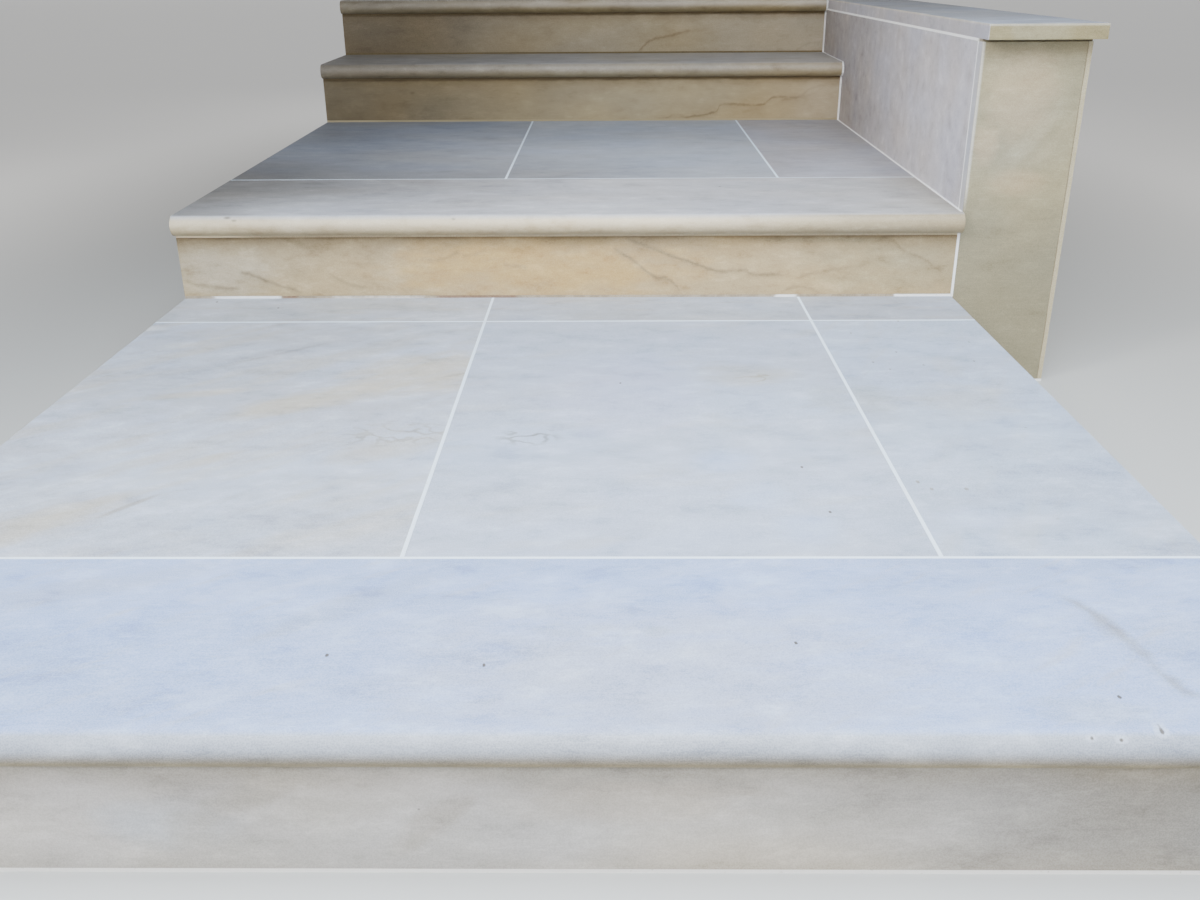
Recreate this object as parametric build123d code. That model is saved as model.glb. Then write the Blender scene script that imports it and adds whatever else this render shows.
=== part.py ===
from build123d import *
import os

# Outdoor steps in smooth sawn sandstone, modelled in millimetres with +Z up.
# The flight climbs towards +Y. A deep landing, a deep platform and two plain
# steps lead to a top landing, and a coped parapet wall stands along the right
# side from the second riser on. The stones are laid on a masonry core and
# pointed with white mortar. While the pieces are made, X is 0 at the middle of
# the flight and Y is 0 at the face of the lowest riser. The finished part has
# its origin on the ground, under the middle of its bounding box.

# Stone thicknesses and the overhang of the treads
tread_thickness = 40.0
nose_overhang = 24.0
slab_thickness = 22.0
riser_thickness = 20.0
facing_thickness = 20.0
pier_slab_thickness = 27.0

# Pointing, held back a little from the faces of the stones
joint = 5.0
recess = 0.6
corner_pointing_width = 11.0

# Widths of the three slabs across the flight
left_slab_width = 612.0
middle_slab_width = 600.0
right_slab_width = 300.0

# Goings, from riser face to riser face
landing_going = 1363.0
platform_going = 1299.0
third_going = 328.0

# Depths of the stones along the flight
tread_one_depth = 320.0
landing_slab_depth = 900.0
tread_two_depth = 386.0
tread_four_depth = 386.0
top_slab_depth = 600.0

# Rises, each from the surface below to the top of the nose above
first_rise = 172.0
second_rise = 167.0
third_rise = 164.5
fourth_rise = 161.5

# Falls of the walking surfaces towards their noses, as rise over run
landing_fall = 0.0045
upper_fall = 0.0105

# Parapet wall and coping. The wall stands a little outside the landing's edge
wall_set_out = 3.0
wall_thickness = 201.0
inner_facing_foot = 60.0
outer_slab_count = 3
coping_thickness = 27.0
coping_drop = 4.5
coping_front_overhang = 27.0
coping_outer_overhang = 13.0
coping_bed_rake = 6.0
front_coping_length = 1800.0

# Places across the flight
flight_width = left_slab_width + middle_slab_width + right_slab_width + 2 * joint
flight_left = -flight_width / 2
flight_right = flight_width / 2
core_left = flight_left + facing_thickness
landing_core_right = flight_right - facing_thickness
wall_inner = flight_right + wall_set_out
step_right = wall_inner - joint
wall_outer = wall_inner + wall_thickness
outer_facing_left = wall_outer - facing_thickness
coping_outer = wall_outer + coping_outer_overhang

# Places along the flight
face_1 = 0.0
face_2 = face_1 + landing_going
face_3 = face_2 + platform_going
face_4 = face_3 + third_going
back_1 = face_1 + riser_thickness
back_2 = face_2 + riser_thickness
back_3 = face_3 + riser_thickness
back_4 = face_4 + riser_thickness
tread_one_back = face_1 - nose_overhang + tread_one_depth
landing_slab_front = tread_one_back + joint
landing_slab_back = landing_slab_front + landing_slab_depth
strip_front = landing_slab_back + joint
tread_two_back = face_2 - nose_overhang + tread_two_depth
platform_slab_front = tread_two_back + joint
tread_four_back = face_4 - nose_overhang + tread_four_depth
top_slab_front = tread_four_back + joint
flight_back = top_slab_front + top_slab_depth
core_back = flight_back - facing_thickness
side_back = core_back - joint
pier_back = face_2 + pier_slab_thickness
coping_front = face_2 - coping_front_overhang
coping_joint = coping_front + front_coping_length


class Level:
    """A walking surface that falls towards its nose."""

    def __init__(self, face, nose_top, fall):
        self.nose_front = face - nose_overhang
        self.nose_top = nose_top
        self.fall = fall

    def top(self, y):
        """Height of the walking surface at a place along the flight."""
        return self.nose_top + self.fall * (y - self.nose_front)


ground = Level(face_1, 0.0, 0.0)
landing = Level(face_1, first_rise, landing_fall)
platform = Level(face_2, landing.top(face_2) + second_rise, upper_fall)
third = Level(face_3, platform.top(face_3) + third_rise, upper_fall)
top_landing = Level(face_4, third.top(face_4) + fourth_rise, upper_fall)

coping_top = top_landing.nose_top - coping_drop
coping_under = coping_top - coping_thickness
wall_top = coping_under - joint
wall_ledge = platform.nose_top - tread_thickness - inner_facing_foot


# Side profiles, drawn in Y and Z, and the solids made from them
def side_profile(*points):
    return make_face(Polyline(*points, close=True))


def layer_profile(level, front, back, over, under):
    """Band between two depths below a falling surface."""
    return side_profile(
        (front, level.top(front) - over),
        (back, level.top(back) - over),
        (back, level.top(back) - under),
        (front, level.top(front) - under),
    )


def standing_profile(level, front, back, foot, over):
    """Upright band from a level foot to a depth below a falling surface."""
    return side_profile(
        (front, foot),
        (back, foot),
        (back, level.top(back) - over),
        (front, level.top(front) - over),
    )


def run_across(profile, left, right):
    return Pos(left, 0, 0) * extrude(Plane.YZ * profile, amount=right - left)


def block(left, right, front, back, bottom, top):
    size = (right - left, back - front, top - bottom)
    return Pos(left, front, bottom) * Box(*size, align=(Align.MIN, Align.MIN, Align.MIN))


def pointing_between(layer, stones):
    """What is left of a layer of mortar once the stones are laid in it."""
    for stone in stones:
        layer -= stone
    return layer.solids()


# Treads, each one stone across the flight with a full-round nose
def bullnose_profile(level, back):
    radius = tread_thickness / 2
    centre = level.nose_front + radius
    top = level.top(centre)
    nose = ThreePointArc((centre, top - tread_thickness), (level.nose_front, top - radius), (centre, top))
    run = Polyline(
        (centre, top),
        (back, level.top(back)),
        (back, level.top(back) - tread_thickness),
        (centre, top - tread_thickness),
    )
    return make_face([nose, run])


def tread(level, back, right):
    return run_across(bullnose_profile(level, back), flight_left, right)


def second_tread():
    """Tread whose nose runs on past the joint, to the plane of the parapet."""
    whole = tread(platform, tread_two_back, wall_inner)
    beside_wall = block(step_right, wall_inner, face_2, tread_two_back, 0, platform.top(tread_two_back))
    return whole - beside_wall


# Risers, each one stone that stands on a foot bed and carries the nose on a head bed
def riser_profile(below, above, face):
    back = face + riser_thickness
    return side_profile(
        (face, below.top(face) + joint),
        (back, below.top(back) + joint),
        (back, above.top(back) - tread_thickness - joint),
        (face, above.top(face) - tread_thickness - joint),
    )


def riser(below, above, face, right):
    return run_across(riser_profile(below, above, face), flight_left, right)


def riser_pointing():
    """Foot beds and head beds of the risers. The lowest foot is on the ground bed."""
    beds = []
    for below, above, face, right in risers.values():
        front = face + recess
        back = face + riser_thickness
        head = layer_profile(above, front, back, tread_thickness, tread_thickness + joint)
        beds.append(run_across(head, flight_left, right))
        if below is not ground:
            foot = layer_profile(below, front, back, -joint, 0)
            beds.append(run_across(foot, flight_left, right))
    return beds


risers = {
    "riser_1": (ground, landing, face_1, flight_right),
    "riser_2": (landing, platform, face_2, step_right),
    "riser_3": (platform, third, face_3, step_right),
    "riser_4": (third, top_landing, face_4, step_right),
}


# Paving slabs, three across the flight with their long joints in line
def slab_row(name, level, front, back, right):
    left_edge = flight_left
    middle_edge = left_edge + left_slab_width + joint
    right_edge = middle_edge + middle_slab_width + joint
    profile = layer_profile(level, front, back, 0, slab_thickness)
    return {
        name + "_left": run_across(profile, left_edge, left_edge + left_slab_width),
        name + "_middle": run_across(profile, middle_edge, middle_edge + middle_slab_width),
        name + "_right": run_across(profile, right_edge, right),
    }


def paving_pointing(level, front, back, right, slabs):
    layer = run_across(layer_profile(level, front, back, recess, slab_thickness), flight_left, right)
    return pointing_between(layer, slabs.values())


landing_slabs = slab_row("landing_slab", landing, landing_slab_front, landing_slab_back, flight_right)
landing_strips = slab_row("landing_strip", landing, strip_front, back_2, flight_right)
platform_slabs = slab_row("platform_slab", platform, platform_slab_front, back_3, step_right)
top_slabs = slab_row("top_slab", top_landing, top_slab_front, flight_back, step_right)


# Masonry core, in blocks that reach from the ground to the beds of the stones
def step_core(level, front, back, tread_back, right):
    """Core of one level, with a lower seat for the tread in front of the slabs."""
    outline = side_profile(
        (front, 0),
        (back, 0),
        (back, level.top(back) - slab_thickness),
        (tread_back, level.top(tread_back) - slab_thickness),
        (tread_back, level.top(tread_back) - tread_thickness),
        (front, level.top(front) - tread_thickness),
    )
    return run_across(outline, core_left, right)


def third_step_core():
    """Core of the third step, whose tread reaches back under the riser."""
    profile = standing_profile(third, back_3, back_4, 0, tread_thickness)
    return run_across(profile, core_left, wall_inner)


def wall_core():
    """Core of the parapet, with a ledge that the inner facing stands on."""
    facing_back = wall_inner + facing_thickness
    foot = block(wall_inner, outer_facing_left, pier_back, core_back, 0, wall_ledge)
    stem = block(facing_back, outer_facing_left, pier_back, back_4, wall_ledge, wall_top)
    behind = block(wall_inner, outer_facing_left, back_4, core_back, wall_ledge, wall_top)
    return foot + stem + behind


# Facing of the open sides, in slabs whose joints follow those of the paving
def side_slab(level, front, back, over, left):
    profile = standing_profile(level, front, back, joint, over + joint)
    return run_across(profile, left, left + facing_thickness)


def landing_facing(left):
    return [
        side_slab(landing, back_1 + joint, tread_one_back, tread_thickness, left),
        side_slab(landing, landing_slab_front, back_2, slab_thickness, left),
    ]


def platform_facing():
    return [
        side_slab(platform, back_2 + joint, tread_two_back, tread_thickness, flight_left),
        side_slab(platform, platform_slab_front, back_3, slab_thickness, flight_left),
    ]


def upper_facing():
    return [
        side_slab(third, back_3 + joint, back_4, tread_thickness, flight_left),
        side_slab(top_landing, back_4 + joint, tread_four_back, tread_thickness, flight_left),
        side_slab(top_landing, top_slab_front, side_back, slab_thickness, flight_left),
    ]


def landing_side_points(back):
    """Underside of the landing's stones along a side, from front to back."""
    return [
        (back_1, joint),
        (back_1, landing.top(back_1) - tread_thickness),
        (tread_one_back, landing.top(tread_one_back) - tread_thickness),
        (tread_one_back, landing.top(tread_one_back) - slab_thickness),
        (back, landing.top(back) - slab_thickness),
    ]


def side_pointing():
    """Mortar round the facing slabs of both sides."""
    right_outline = side_profile(*landing_side_points(back_2), (back_2, joint))
    left_outline = side_profile(
        *landing_side_points(back_2),
        (back_2, platform.top(back_2) - tread_thickness),
        (tread_two_back, platform.top(tread_two_back) - tread_thickness),
        (tread_two_back, platform.top(tread_two_back) - slab_thickness),
        (back_3, platform.top(back_3) - slab_thickness),
        (back_3, third.top(back_3) - tread_thickness),
        (back_4, third.top(back_4) - tread_thickness),
        (back_4, top_landing.top(back_4) - tread_thickness),
        (tread_four_back, top_landing.top(tread_four_back) - tread_thickness),
        (tread_four_back, top_landing.top(tread_four_back) - slab_thickness),
        (core_back, top_landing.top(core_back) - slab_thickness),
        (core_back, joint),
    )
    left_layer = run_across(left_outline, flight_left + recess, core_left)
    left_stones = landing_facing(flight_left) + platform_facing() + upper_facing()
    right_layer = run_across(right_outline, landing_core_right, flight_right - recess)
    right_stones = landing_facing(landing_core_right)
    return pointing_between(left_layer, left_stones) + pointing_between(right_layer, right_stones)


# Facing of the back, in line with the long joints of the top landing
def back_facing():
    left_edge = flight_left
    middle_edge = left_edge + left_slab_width + joint
    right_edge = middle_edge + middle_slab_width + joint
    profile = standing_profile(top_landing, core_back, flight_back, joint, slab_thickness + joint)
    return [
        run_across(profile, left_edge, left_edge + left_slab_width),
        run_across(profile, middle_edge, middle_edge + middle_slab_width),
        run_across(profile, right_edge, wall_inner),
        block(wall_inner + joint, wall_outer, core_back, flight_back, joint, wall_top),
    ]


def back_pointing():
    face = flight_back - recess
    profile = standing_profile(top_landing, core_back, face, joint, slab_thickness)
    layer = run_across(profile, flight_left + recess, wall_inner)
    layer += block(wall_inner, wall_outer - recess, core_back, face, joint, wall_top)
    return pointing_between(layer, back_facing())


# Facing of the parapet
def wall_front_facing():
    """Slab on the front of the wall, lapping over the ends of the side facings."""
    return block(wall_inner, wall_outer - corner_pointing_width, face_2, pier_back, joint, wall_top)


def wall_inner_facing():
    """One slab from the pier to the top riser, standing on the ledge of the core."""
    back = wall_inner + facing_thickness
    return block(wall_inner, back, pier_back + joint, back_4, wall_ledge, wall_top)


def wall_outer_facing():
    start = pier_back + joint
    length = (side_back - start - (outer_slab_count - 1) * joint) / outer_slab_count
    slabs = []
    for index in range(outer_slab_count):
        front = start + index * (length + joint)
        slabs.append(block(outer_facing_left, wall_outer, front, front + length, joint, wall_top))
    return slabs


def wall_pointing():
    """Joints beside the landing and behind the front slab, outer corner and outer joints."""
    facing_back = wall_inner + facing_thickness
    beside = block(flight_right, wall_inner, face_2 + recess, back_2, joint, landing.top(face_2) - recess)
    inner = block(wall_inner + recess, facing_back, pier_back, pier_back + joint, wall_ledge, wall_top)
    corner = block(
        wall_outer - corner_pointing_width,
        wall_outer - recess,
        face_2 + recess,
        pier_back,
        joint,
        wall_top,
    )
    outer = block(outer_facing_left, wall_outer - recess, pier_back, core_back, joint, wall_top)
    return [beside, inner, corner] + pointing_between(outer, wall_outer_facing())


# Coping, flush with the inner face and overhanging the front and the outside
def coping_stone(front, back):
    return block(wall_inner, coping_outer, front, back, coping_under, coping_top)


def coping_pointing():
    """Bed under the coping, raked out at the front, and the joint between its two stones."""
    bed_front = face_2 + coping_bed_rake
    bed = block(wall_inner + recess, wall_outer - recess, bed_front, flight_back, wall_top, coping_under)
    left = wall_inner + recess
    right = coping_outer - recess
    top = coping_top - recess
    return bed + block(left, right, coping_joint, coping_joint + joint, coping_under, top)


# Pointing between the ends of the upper steps and the parapet
def step_end_pointing():
    """Thin plate with the outline of the steps, rounded at the upper noses."""
    profiles = [
        layer_profile(platform, face_2, tread_two_back, 0, tread_thickness),
        layer_profile(platform, tread_two_back, back_3, 0, slab_thickness),
        bullnose_profile(third, back_4),
        bullnose_profile(top_landing, tread_four_back),
        layer_profile(top_landing, tread_four_back, flight_back, 0, slab_thickness),
    ]
    upper_risers = ((landing, platform, face_2), (platform, third, face_3), (third, top_landing, face_4))
    for below, above, face in upper_risers:
        back = face + riser_thickness
        profiles.append(
            side_profile(
                (face, below.top(face)),
                (back, below.top(back)),
                (back, above.top(back) - tread_thickness),
                (face, above.top(face) - tread_thickness),
            )
        )
    plate = run_across(profiles[0], step_right, wall_inner)
    for profile in profiles[1:]:
        plate += run_across(profile, step_right, wall_inner)
    return plate


# Ground bed under the lowest riser and under every facing slab
def ground_bed():
    bed = block(flight_left + recess, flight_right - recess, face_1 + recess, back_1, 0, joint)
    bed += block(flight_left + recess, core_left, back_1, core_back, 0, joint)
    bed += block(landing_core_right, flight_right - recess, back_1, back_2, 0, joint)
    bed += block(flight_right - recess, wall_inner, face_2 + recess, back_2, 0, joint)
    bed += block(wall_inner, wall_outer - recess, face_2 + recess, pier_back, 0, joint)
    bed += block(outer_facing_left, wall_outer - recess, pier_back, core_back, 0, joint)
    bed += block(flight_left + recess, wall_outer - recess, core_back, flight_back - recess, 0, joint)
    return bed


# All nodes by name
nodes = {
    "landing_core": step_core(landing, back_1, back_2, tread_one_back, landing_core_right),
    "platform_core": step_core(platform, back_2, back_3, tread_two_back, wall_inner),
    "third_step_core": third_step_core(),
    "top_core": step_core(top_landing, back_4, core_back, tread_four_back, wall_inner),
    "wall_core": wall_core(),
    "tread_1": tread(landing, tread_one_back, flight_right),
    "tread_2": second_tread(),
    "tread_3": tread(third, back_4, step_right),
    "tread_4": tread(top_landing, tread_four_back, step_right),
    "left_landing_facing": landing_facing(flight_left),
    "right_landing_facing": landing_facing(landing_core_right),
    "left_platform_facing": platform_facing(),
    "left_upper_facing": upper_facing(),
    "back_facing": back_facing(),
    "wall_front_facing": wall_front_facing(),
    "wall_inner_facing": wall_inner_facing(),
    "wall_outer_facing": wall_outer_facing(),
    "coping_front": coping_stone(coping_front, coping_joint),
    "coping_back": coping_stone(coping_joint + joint, flight_back),
    "riser_pointing": riser_pointing(),
    "landing_pointing": paving_pointing(
        landing, tread_one_back, back_2, flight_right, landing_slabs | landing_strips
    ),
    "platform_pointing": paving_pointing(platform, tread_two_back, back_3, step_right, platform_slabs),
    "top_pointing": paving_pointing(top_landing, tread_four_back, flight_back, step_right, top_slabs),
    "step_end_pointing": step_end_pointing(),
    "side_pointing": side_pointing(),
    "back_pointing": back_pointing(),
    "wall_pointing": wall_pointing(),
    "coping_pointing": coping_pointing(),
    "ground_bed": ground_bed(),
}
for riser_name, riser_place in risers.items():
    nodes[riser_name] = riser(*riser_place)
nodes |= landing_slabs | landing_strips | platform_slabs | top_slabs

# The origin is under the middle of the bounding box
middle_x = (flight_left + coping_outer) / 2
middle_y = (landing.nose_front + flight_back) / 2

os.makedirs("parts", exist_ok=True)
for node_name, shape in nodes.items():
    solids = shape if isinstance(shape, list) else shape.solids()
    placed = Pos(-middle_x, -middle_y, 0) * Compound(solids)
    placed.label = node_name
    export_step(placed, "parts/" + node_name + ".step")
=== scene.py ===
import math

import bpy
from mathutils import Matrix, Vector


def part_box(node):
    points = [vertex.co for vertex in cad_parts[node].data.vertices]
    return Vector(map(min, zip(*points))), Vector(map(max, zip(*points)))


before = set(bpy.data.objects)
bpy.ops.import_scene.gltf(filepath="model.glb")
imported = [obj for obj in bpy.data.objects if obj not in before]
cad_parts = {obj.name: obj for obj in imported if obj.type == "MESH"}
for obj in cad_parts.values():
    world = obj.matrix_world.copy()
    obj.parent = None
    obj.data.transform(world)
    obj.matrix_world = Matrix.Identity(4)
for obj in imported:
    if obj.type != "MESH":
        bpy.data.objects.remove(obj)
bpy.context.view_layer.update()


# Masonry core
# The core is dense blockwork, laid from the footing up to the beds of the
# stones. It is grey concrete, and nothing of it shows once the stones are on.
class Socket:
    """An output in a material's node tree. Sums on it add Math nodes."""

    def __init__(self, tree, output=None):
        self.tree = tree
        self.output = output

    def node(self, kind, settings=None, sockets=None, output=0):
        """Adds a node, sets its settings, then gives its sockets their values or links."""
        made = self.tree.nodes.new(kind)
        for name, setting in (settings or {}).items():
            if name == "course":
                points = made.mapping.curves[0].points
                for index, (along, height) in enumerate(setting):
                    point = points[index] if index < 2 else points.new(along, height)
                    point.location = (along, height)
                made.mapping.update()
            else:
                setattr(made, name, setting)
        for name, value in (sockets or {}).items():
            if isinstance(value, Socket):
                self.tree.links.new(value.output, made.inputs[name])
            else:
                made.inputs[name].default_value = value
        return Socket(self.tree, made.outputs[output])

    def maths(self, operation, *values):
        return self.node("ShaderNodeMath", {"operation": operation}, dict(enumerate(values)))

    def __add__(self, other):
        return self.maths("ADD", self, other)

    def __radd__(self, other):
        return self.maths("ADD", other, self)

    def __sub__(self, other):
        return self.maths("SUBTRACT", self, other)

    def __rsub__(self, other):
        return self.maths("SUBTRACT", other, self)

    def __mul__(self, other):
        return self.maths("MULTIPLY", self, other)

    def __rmul__(self, other):
        return self.maths("MULTIPLY", other, self)

    def __truediv__(self, other):
        return self.maths("DIVIDE", self, other)

    def __abs__(self):
        return self.maths("ABSOLUTE", self)

    def ease(self, low, high):
        """Runs smoothly from 0 at low to 1 at high, which may be the smaller one."""
        sockets = {"Value": self, "From Min": low, "From Max": high}
        return self.node("ShaderNodeMapRange", {"interpolation_type": "SMOOTHSTEP"}, sockets)

    def blend(self, under, over, way="MIX"):
        """Colour that goes from under to over as this mask goes from 0 to 1."""
        settings = {"data_type": "RGBA", "blend_type": way, "clamp_factor": True}
        return self.node("ShaderNodeMix", settings, {0: self, 6: under, 7: over}, 2)


def tone(red, green, blue):
    """Linear colour of a tone that is written as it looks, from 0 to 255."""
    def linear(value):
        share = value / 255
        return share / 12.92 if share <= 0.04045 else ((share + 0.055) / 1.055) ** 2.4
    return (linear(red), linear(green), linear(blue), 1.0)


lowest_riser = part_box("riser_1")
flight_middle = (lowest_riser[0].x + lowest_riser[1].x) / 2
flight_front = lowest_riser[0].y


class Finish:
    """The finish of one stone or bed, built up layer on layer.

    Places on it are in metres: x from the middle of the flight, y from the
    face of the lowest riser, z from the ground.
    """

    def __init__(self, name, seed, base, roughness):
        self.material = bpy.data.materials.new(name)
        self.material.use_nodes = True
        self.tree = self.material.node_tree
        self.shader = self.tree.nodes["Principled BSDF"]
        self.seed = seed
        self.colour = base
        self.roughness = roughness
        self.height = None
        self.noises = {}
        start = Socket(self.tree)
        self.place = start.node("ShaderNodeTexCoord", output="Object")
        split = self.place.node("ShaderNodeSeparateXYZ", sockets={0: self.place})
        outputs = split.output.node.outputs
        self.x = Socket(self.tree, outputs[0]) - flight_middle
        self.y = Socket(self.tree, outputs[1]) - flight_front
        self.z = Socket(self.tree, outputs[2])
        geometry = start.node("ShaderNodeNewGeometry", output="Normal")
        normal = start.node("ShaderNodeSeparateXYZ", sockets={0: geometry})
        self.facing_up = Socket(self.tree, normal.output.node.outputs[2])

    def noise(self, size, detail=4.0, stretch=(1, 1, 1), turn=(0, 0, 0), shift=0, roughness=0.55):
        """Noise whose features are about size metres, drawn out along axes turned by degrees.

        Asked for again with the same values, it gives the same node.
        """
        key = (size, detail, stretch, turn, shift, roughness)
        if key in self.noises:
            return self.noises[key]
        offset = 0.37 * self.seed + 1.13 * shift
        sockets = {
            "Vector": self.place,
            "Location": (offset, 0.6 * offset, 0.3 * offset),
            "Rotation": tuple(math.radians(angle) for angle in turn),
            "Scale": tuple(size * axis for axis in stretch),
        }
        place = self.place.node("ShaderNodeMapping", {"vector_type": "TEXTURE"}, sockets)
        sockets = {"Vector": place, "Scale": 1.0, "Detail": detail, "Roughness": roughness}
        self.noises[key] = self.place.node("ShaderNodeTexNoise", sockets=sockets)
        return self.noises[key]

    def lay(self, mask, colour, amount=1.0, way="MIX"):
        """Puts a colour over what is there, through a mask."""
        self.colour = (mask * amount).blend(self.colour, colour, way)

    def grain(self, size, amount, depth):
        """Sand grain: small light and dark grains, with a relief of the given depth."""
        grains = self.noise(size, detail=1.5, shift=5)
        self.lay(grains.ease(0.35, 0.7), (1.0, 1.0, 1.0, 1.0), amount, "SOFT_LIGHT")
        self.lay(grains.ease(0.6, 0.3), (0.0, 0.0, 0.0, 1.0), amount, "SOFT_LIGHT")
        self.raise_by(grains, depth)

    def raise_by(self, relief, depth):
        added = relief * depth
        self.height = added if self.height is None else self.height + added

    def dress(self, *nodes):
        """Links the layers to the shader and puts the finish on the named pieces."""
        links = self.tree.links
        if isinstance(self.colour, Socket):
            links.new(self.colour.output, self.shader.inputs["Base Color"])
        else:
            self.shader.inputs["Base Color"].default_value = self.colour
        if isinstance(self.roughness, Socket):
            links.new(self.roughness.output, self.shader.inputs["Roughness"])
        else:
            self.shader.inputs["Roughness"].default_value = self.roughness
        if self.height is not None:
            bump = self.height.node("ShaderNodeBump", sockets={"Distance": 1.0, "Height": self.height})
            links.new(bump.output, self.shader.inputs["Normal"])
        for name in nodes:
            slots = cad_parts[name].material_slots
            for slot in slots:
                slot.material = self.material


core_finish = Finish("dense_block", 1, tone(134, 132, 128), 0.85)
core_finish.lay(core_finish.noise(0.02).ease(0.35, 0.7), tone(107, 105, 101), 0.6)
core_finish.grain(0.003, 0.4, 0.0006)
core_finish.dress("landing_core", "platform_core", "third_step_core", "top_core", "wall_core")


# Pointing and beds
# The joints are fine white mortar, pressed in and struck nearly flush with
# the faces of the stones, so they have a faint drag and a few pinholes.
# The beds of the risers were washed over and took the tan of the stone.
stained_bed = tone(157, 139, 110)
cream_bed = tone(250, 228, 182)


def white_mortar(name, seed, white=tone(248, 248, 248)):
    mortar = Finish(name, seed, white, 0.8)
    mortar.lay(mortar.noise(0.12).ease(0.5, 0.8), tone(224, 226, 230), 0.5)
    mortar.lay(mortar.noise(0.006, shift=1).ease(0.64, 0.76), tone(186, 182, 174), 0.5)
    return mortar


def fill_flush(axis, depth, *names):
    """Brings the struck face of a joint forward, nearly flush with the stones."""
    for name in names:
        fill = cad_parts[name].modifiers.new("filled", "DISPLACE")
        fill.direction = axis
        fill.mid_level = 0.0
        fill.strength = depth


nearly_flush = 0.0005
fill_flush("Z", nearly_flush, "landing_pointing", "platform_pointing", "top_pointing")
fill_flush("X", -nearly_flush, "wall_pointing", "coping_pointing")
# The paving joints are tinted blue: painted light, the cool cast of light from above on upward faces.
paving_mortar = white_mortar("paving_pointing_mortar", 2, tone(226, 240, 255))
paving_mortar.grain(0.0012, 0.25, 0.0003)
paving_mortar.dress("landing_pointing", "platform_pointing", "top_pointing")

upright_mortar = white_mortar("upright_pointing_mortar", 5)
upright_mortar.grain(0.0012, 0.25, 0.0003)
upright_mortar.dress("step_end_pointing", "side_pointing", "back_pointing", "ground_bed")

coping_mortar = white_mortar("coping_bed_mortar", 6)
# The front of the bed under the coping is painted dark: painted shade under the overhang.
coping_mortar.lay(coping_mortar.y.ease(1.40, 1.38), tone(128, 116, 88), 0.9)
coping_mortar.grain(0.0012, 0.25, 0.0003)
coping_mortar.dress("coping_pointing")

riser_mortar = white_mortar("riser_pointing_mortar", 3)
second_foot = riser_mortar.z.ease(0.25, 0.24)


def between(start, end):
    """Length of a bed from start to end, with ragged ends."""
    drift = riser_mortar.x + (riser_mortar.noise(0.02, shift=4) - 0.5) * 0.03
    return drift.ease(start - 0.006, start + 0.006) * drift.ease(end + 0.006, end - 0.006)


clean = between(-0.705, -0.567) + between(-0.464, -0.286) * 0.4 + between(0.413, 0.454) + between(0.649, 0.80)
reddish = between(-0.26, -0.10) + between(-0.565, -0.535)
worn = riser_mortar.noise(0.02, shift=2).ease(0.42, 0.56)
stained = second_foot * (1 - clean)
riser_mortar.lay(1 - second_foot, cream_bed, 0.85)
riser_mortar.lay((1 - second_foot) * riser_mortar.x.ease(-0.66, -0.58), tone(170, 156, 122), 0.7)
# The beds of the third and fourth risers are darker, the fourth most: stained like the stone, and partly painted
# shade.
riser_mortar.lay(riser_mortar.z.ease(0.33, 0.34), tone(158, 144, 112), 0.8)
riser_mortar.lay(riser_mortar.z.ease(0.37, 0.38), tone(112, 98, 70), 0.9)
riser_mortar.lay(stained, stained_bed, 0.85)
riser_mortar.lay(stained * worn, tone(125, 109, 83), 0.4)
riser_mortar.lay(stained * reddish, tone(123, 82, 58), 0.6)
riser_mortar.grain(0.0012, 0.25, 0.0003)
riser_mortar.dress("riser_pointing")

wall_mortar = white_mortar("wall_pointing_mortar", 4)
corner_strip = wall_mortar.x.ease(0.940, 0.945) * wall_mortar.y.ease(1.394, 1.392)
crack = abs(wall_mortar.x - 0.9545 + (wall_mortar.noise(0.05, shift=3) - 0.5) * 0.004)
wall_mortar.lay(corner_strip, tone(183, 172, 143), 1.0)
wall_mortar.lay(corner_strip * crack.ease(0.0022, 0.0008), tone(116, 103, 78), 0.8)
wall_mortar.grain(0.0012, 0.25, 0.0003)
wall_mortar.dress("wall_pointing")


# Risers
# Each riser is one slab of buff sandstone on edge, 20 mm thick, sawn smooth,
# set on a foot bed. Thin dark veins follow the bedding across its face.
arris = 0.0008
arris_angle = math.radians(30)
weld_distance = 0.00002


def ease_arrises(*names):
    """Takes the sharp edge off a stone, as the mason's rubbing block does."""
    for name in names:
        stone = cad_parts[name]
        weld = stone.modifiers.new("weld", "WELD")
        weld.merge_threshold = weld_distance
        bevel = stone.modifiers.new("eased_arris", "BEVEL")
        bevel.width = arris
        bevel.segments = 2
        bevel.limit_method = "ANGLE"
        bevel.angle_limit = arris_angle
        smooth = stone.modifiers.new("weighted", "WEIGHTED_NORMAL")
        smooth.keep_sharp = True


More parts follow.
